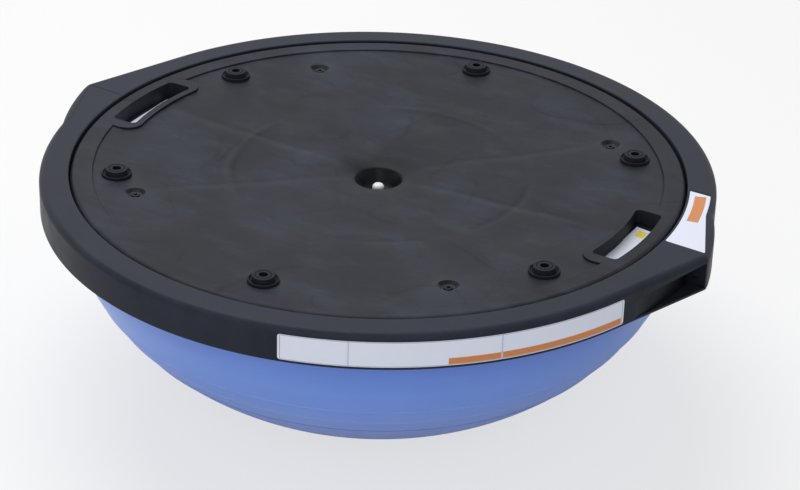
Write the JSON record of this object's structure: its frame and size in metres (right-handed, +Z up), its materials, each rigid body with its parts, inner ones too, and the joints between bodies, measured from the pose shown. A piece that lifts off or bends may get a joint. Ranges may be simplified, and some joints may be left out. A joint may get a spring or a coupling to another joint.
{
  "type": "half ball balance trainer",
  "caption": "Inflated half dome under a flat round platform with two hand slots, two pointed grip ears, rubber feet and a central air plug.",
  "frame": {"origin": "middle of the flat patch on which the dome stands on the floor, under the centre of the platform", "axes": "+Z up out of the platform, +X from the centre through one of the two hand slots and the ear outside it"},
  "size_m": [0.6902, 0.65, 0.2431],
  "materials": {
    "ring_plastic": "fine moulded grain, satin",
    "plate_plastic": "fine moulded grain, satin",
    "vinyl": "smooth vinyl with a soft sheen",
    "rubber_black": "matt",
    "plug_plastic": "semi-gloss",
    "steel": "zinc plated"
  },
  "bodies": {
    "platform": {"rim_ring": "ring_plastic", "base_plate": "plate_plastic", "well_tub_right": "plate_plastic", "well_tub_left": "plate_plastic", "valve_cup": "plate_plastic", "bladder_dome": "vinyl", "bladder_collar": "vinyl", "valve_grommet": "rubber_black", "foot_1": "rubber_black", "foot_2": "rubber_black", "foot_3": "rubber_black", "foot_4": "rubber_black", "foot_5": "rubber_black", "foot_6": "rubber_black", "foot_washer_1": "steel", "foot_washer_2": "steel", "foot_washer_3": "steel", "foot_washer_4": "steel", "foot_washer_5": "steel", "foot_washer_6": "steel", "foot_screw_1": "steel", "foot_screw_2": "steel", "foot_screw_3": "steel", "foot_screw_4": "steel", "foot_screw_5": "steel", "foot_screw_6": "steel", "plate_screw_1": "steel", "plate_screw_2": "steel", "plate_screw_3": "steel", "plate_screw_4": "steel"},
    "plug": {"valve_plug": "plug_plastic"}
  },
  "joints": [
    {"name": "plug_pull", "type": "slide", "parent": "platform", "child": "plug", "axis": [0, 0, 1], "range_m": [0, 0.024]}
  ]
}
